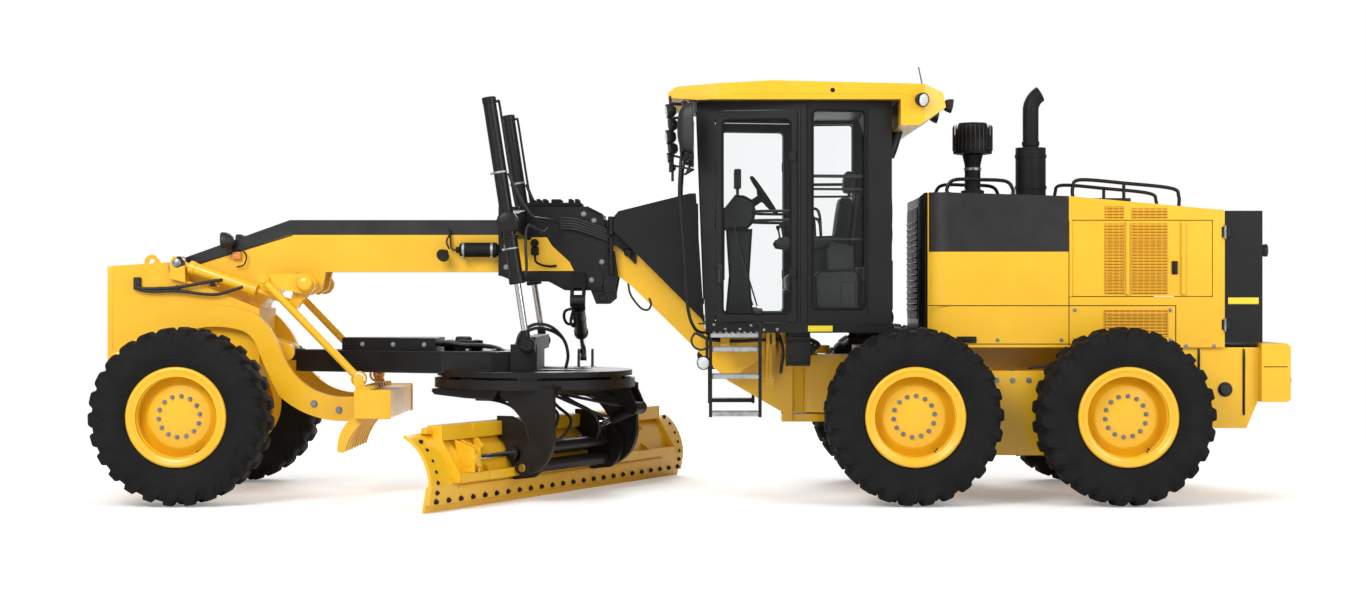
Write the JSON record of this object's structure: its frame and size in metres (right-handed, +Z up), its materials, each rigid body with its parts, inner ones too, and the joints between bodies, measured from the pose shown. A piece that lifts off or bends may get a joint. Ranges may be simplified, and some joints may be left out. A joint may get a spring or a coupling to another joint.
{
  "type": "motor grader",
  "caption": "Articulated motor grader with a turning, tilting and side-shifting blade under its arched frame, a scarifier, an enclosed cab and a hinged rear engine body.",
  "frame": {"origin": "on the ground, under the middle of the machine's length and width", "axes": "+X forward along the machine, +Y to its left, +Z up"},
  "size_m": [8.988, 3.3353, 3.1734],
  "materials": {
    "yellow_paint": "gloss",
    "black_paint": "satin",
    "edge_steel": "matt",
    "chrome_rod": "polished",
    "tyre_rubber": "matt",
    "window_glass": "clear",
    "seat_fabric": "woven",
    "dark_plastic": "matt",
    "engine_iron": "matt"
  },
  "bodies": {
    "front_frame": {"front_frame": "yellow_paint", "front_axle": "yellow_paint", "saddle": "black_paint", "console_cover": "black_paint", "cab_frame": "black_paint", "cab_roof": "yellow_paint", "cab_glass": "window_glass", "seat": "seat_fabric", "steering_console": "dark_plastic", "ladders": "black_paint", "side_boxes": "black_paint"},
    "rear_body": {"rear_frame": "yellow_paint", "tandem_axle": "yellow_paint", "engine_hood": "yellow_paint", "radiator_housing": "black_paint", "rear_bumper": "yellow_paint", "fuel_tank": "yellow_paint", "engine_block": "engine_iron", "exhaust_stack": "black_paint", "air_cleaner": "black_paint"},
    "left_knuckle": {"left_knuckle": "yellow_paint"},
    "right_knuckle": {"right_knuckle": "yellow_paint"},
    "tie_rod": {"tie_rod": "yellow_paint"},
    "front_left_wheel": {"front_left_tyre": "tyre_rubber", "front_left_rim": "yellow_paint"},
    "front_right_wheel": {"front_right_tyre": "tyre_rubber", "front_right_rim": "yellow_paint"},
    "middle_left_wheel": {"middle_left_tyre": "tyre_rubber", "middle_left_rim": "yellow_paint"},
    "middle_right_wheel": {"middle_right_tyre": "tyre_rubber", "middle_right_rim": "yellow_paint"},
    "rear_left_wheel": {"rear_left_tyre": "tyre_rubber", "rear_left_rim": "yellow_paint"},
    "rear_right_wheel": {"rear_right_tyre": "tyre_rubber", "rear_right_rim": "yellow_paint"},
    "left_cab_door": {"left_cab_door": "black_paint"},
    "right_cab_door": {"right_cab_door": "black_paint"},
    "left_engine_door": {"left_engine_door": "yellow_paint"},
    "right_engine_door": {"right_engine_door": "yellow_paint"},
    "radiator_door": {"radiator_door": "black_paint"},
    "drawbar": {"drawbar": "black_paint"},
    "circle": {"circle": "black_paint"},
    "left_lift_barrel": {"left_lift_barrel": "black_paint"},
    "right_lift_barrel": {"right_lift_barrel": "black_paint"},
    "left_lift_rod": {"left_lift_rod": "chrome_rod"},
    "right_lift_rod": {"right_lift_rod": "chrome_rod"},
    "centre_shift_barrel": {"centre_shift_barrel": "black_paint"},
    "centre_shift_rod": {"centre_shift_rod": "chrome_rod"},
    "tilt_barrel": {"tilt_barrel": "black_paint"},
    "tilt_rod": {"tilt_rod": "chrome_rod"},
    "scarifier": {"scarifier": "yellow_paint"},
    "scarifier_crank": {"scarifier_crank": "yellow_paint"},
    "scarifier_links": {"scarifier_links": "yellow_paint"},
    "scarifier_barrel": {"scarifier_barrel": "yellow_paint"},
    "scarifier_rod": {"scarifier_rod": "chrome_rod"},
    "blade_carrier": {"blade_carrier": "black_paint", "side_shift_barrel": "black_paint"},
    "blade": {"moldboard": "yellow_paint", "cutting_edge": "edge_steel", "side_shift_rod": "chrome_rod"}
  },
  "joints": [
    {"name": "articulation", "type": "hinge", "parent": "front_frame", "child": "rear_body", "pos_m": [-0.935, 0, 0.855], "axis": [0, 0, 1], "range_deg": [-22, 22]},
    {"name": "steering", "type": "hinge", "parent": "front_frame", "child": "left_knuckle", "pos_m": [3.75, 0.9, 0.655], "axis": [0, 0, 1], "range_deg": [-40, 40]},
    {"name": "right_steering", "type": "hinge", "parent": "front_frame", "child": "right_knuckle", "pos_m": [3.75, -0.9, 0.655], "axis": [0, 0, 1], "range_deg": [-40, 40]},
    {"name": "tie_rod_turn", "type": "hinge", "parent": "left_knuckle", "child": "tie_rod", "pos_m": [3.645, 0.9, 0.457], "axis": [0, 0, 1], "range_deg": [-40, 40]},
    {"name": "front_left_roll", "type": "hinge", "parent": "left_knuckle", "child": "front_left_wheel", "pos_m": [3.75, 1.02, 0.655], "axis": [0, 1, 0], "continuous": true},
    {"name": "front_right_roll", "type": "hinge", "parent": "right_knuckle", "child": "front_right_wheel", "pos_m": [3.75, -1.02, 0.655], "axis": [0, 1, 0], "continuous": true},
    {"name": "middle_left_roll", "type": "hinge", "parent": "rear_body", "child": "middle_left_wheel", "pos_m": [-1.625, 1.02, 0.655], "axis": [0, 1, 0], "continuous": true},
    {"name": "middle_right_roll", "type": "hinge", "parent": "rear_body", "child": "middle_right_wheel", "pos_m": [-1.625, -1.02, 0.655], "axis": [0, 1, 0], "continuous": true},
    {"name": "rear_left_roll", "type": "hinge", "parent": "rear_body", "child": "rear_left_wheel", "pos_m": [-3.172, 1.02, 0.655], "axis": [0, 1, 0], "continuous": true},
    {"name": "rear_right_roll", "type": "hinge", "parent": "rear_body", "child": "rear_right_wheel", "pos_m": [-3.172, -1.02, 0.655], "axis": [0, 1, 0], "continuous": true},
    {"name": "left_cab_door_hinge", "type": "hinge", "parent": "front_frame", "child": "left_cab_door", "pos_m": [-0.80085, 0.68772, 2.1], "axis": [0, 0, 1], "range_deg": [0, 90]},
    {"name": "right_cab_door_hinge", "type": "hinge", "parent": "front_frame", "child": "right_cab_door", "pos_m": [-0.80085, -0.68772, 2.1], "axis": [0, 0, -1], "range_deg": [0, 90]},
    {"name": "left_engine_door_hinge", "type": "hinge", "parent": "rear_body", "child": "left_engine_door", "pos_m": [-2.8516, 0.648, 1.82], "axis": [0, 0, -1], "range_deg": [0, 110]},
    {"name": "right_engine_door_hinge", "type": "hinge", "parent": "rear_body", "child": "right_engine_door", "pos_m": [-2.8516, -0.648, 1.82], "axis": [0, 0, 1], "range_deg": [0, 110]},
    {"name": "radiator_door_hinge", "type": "hinge", "parent": "rear_body", "child": "radiator_door", "pos_m": [-4.296, 0.5384, 1.69], "axis": [0, 0, -1], "range_deg": [0, 110]},
    {"name": "blade_lift", "type": "hinge", "parent": "front_frame", "child": "drawbar", "pos_m": [3.17, 0, 1.1], "axis": [0, 1, 0], "range_deg": [-5, 10]},
    {"name": "left_lift_swing", "type": "hinge", "parent": "front_frame", "child": "left_lift_barrel", "pos_m": [1.374, 0.8, 2.089], "axis": [0, 1, 0], "range_deg": [-1.43, 2.35]},
    {"name": "left_lift_stroke", "type": "slide", "parent": "left_lift_barrel", "child": "left_lift_rod", "axis": [-0.1529, 0, -0.9882], "range_m": [-0.34, 0.172]},
    {"name": "right_lift_swing", "type": "hinge", "parent": "front_frame", "child": "right_lift_barrel", "pos_m": [1.374, -0.8, 2.089], "axis": [0, 1, 0], "range_deg": [-1.43, 2.35]},
    {"name": "right_lift_stroke", "type": "slide", "parent": "right_lift_barrel", "child": "right_lift_rod", "axis": [-0.1529, 0, -0.9882], "range_m": [-0.34, 0.172]},
    {"name": "centre_shift_swing", "type": "hinge", "parent": "front_frame", "child": "centre_shift_barrel", "pos_m": [0.88, 0.36, 1.5], "axis": [-1, 0, 0], "range_deg": [-11.8, 23.1]},
    {"name": "centre_shift_stroke", "type": "slide", "parent": "centre_shift_barrel", "child": "centre_shift_rod", "axis": [0, -0.8858, -0.464], "range_m": [-0.1462, 0.0751]},
    {"name": "circle_turn", "type": "hinge", "parent": "drawbar", "child": "circle", "pos_m": [1.216, 0.23, 0.875], "axis": [0, 0, 1], "range_deg": [-6, 74]},
    {"name": "blade_tilt", "type": "hinge", "parent": "circle", "child": "blade_carrier", "pos_m": [0.9524, 0.3731, 0.265], "axis": [0.4772, 0.8788, 0], "range_deg": [-5, 40]},
    {"name": "tilt_swing", "type": "hinge", "parent": "circle", "child": "tilt_barrel", "pos_m": [0.4364, 0.1355, 0.67], "axis": [0.4772, 0.8788, 0], "range_deg": [-3.1, 0.82]},
    {"name": "tilt_stroke", "type": "slide", "parent": "tilt_barrel", "child": "tilt_rod", "axis": [0.7997, -0.4341, -0.4148], "range_m": [-0.0249, 0.1716]},
    {"name": "blade_side_shift", "type": "slide", "parent": "blade_carrier", "child": "blade", "axis": [0.4772, 0.8788, 0], "range_m": [-0.45, 0.9]},
    {"name": "scarifier_lift", "type": "hinge", "parent": "front_frame", "child": "scarifier", "pos_m": [4.4, 0, 1.05], "axis": [0, 1, 0], "range_deg": [-14, 0]},
    {"name": "crank_turn", "type": "hinge", "parent": "front_frame", "child": "scarifier_crank", "pos_m": [2.957, 0, 1.629], "axis": [0, 1, 0], "range_deg": [-0.5, 58.57]},
    {"name": "link_turn", "type": "hinge", "parent": "scarifier_crank", "child": "scarifier_links", "pos_m": [3.271, 0, 1.658], "axis": [0, 1, 0], "range_deg": [-71.48, 0.5]},
    {"name": "scarifier_cylinder_swing", "type": "hinge", "parent": "front_frame", "child": "scarifier_barrel", "pos_m": [3.955, 0.3, 1.79], "axis": [0, 1, 0], "range_deg": [-0.5, 2.18]},
    {"name": "scarifier_cylinder_stroke", "type": "slide", "parent": "scarifier_barrel", "child": "scarifier_rod", "axis": [-0.9438, 0, -0.3304], "range_m": [-0.004, 0.1848]}
  ],
  "couplings": [
    {"joint": "right_steering", "follows": "steering", "ratio": 1},
    {"joint": "tie_rod_turn", "follows": "steering", "ratio": -1},
    {"joint": "left_lift_swing", "follows": "blade_lift", "ratio": 0.185},
    {"joint": "left_lift_stroke", "follows": "blade_lift", "m_per_rad": -1.925},
    {"joint": "right_lift_swing", "follows": "blade_lift", "ratio": 0.185},
    {"joint": "right_lift_stroke", "follows": "blade_lift", "m_per_rad": -1.925},
    {"joint": "centre_shift_swing", "follows": "blade_lift", "ratio": 2.26},
    {"joint": "centre_shift_stroke", "follows": "blade_lift", "m_per_rad": -0.815},
    {"joint": "tilt_swing", "follows": "blade_tilt", "ratio": -0.065},
    {"joint": "tilt_stroke", "follows": "blade_tilt", "m_per_rad": 0.24},
    {"joint": "crank_turn", "follows": "scarifier_lift", "ratio": -4.1481},
    {"joint": "link_turn", "follows": "scarifier_lift", "ratio": 5.0701},
    {"joint": "scarifier_cylinder_swing", "follows": "scarifier_lift", "ratio": -0.12},
    {"joint": "scarifier_cylinder_stroke", "follows": "scarifier_lift", "m_per_rad": -0.74}
  ]
}
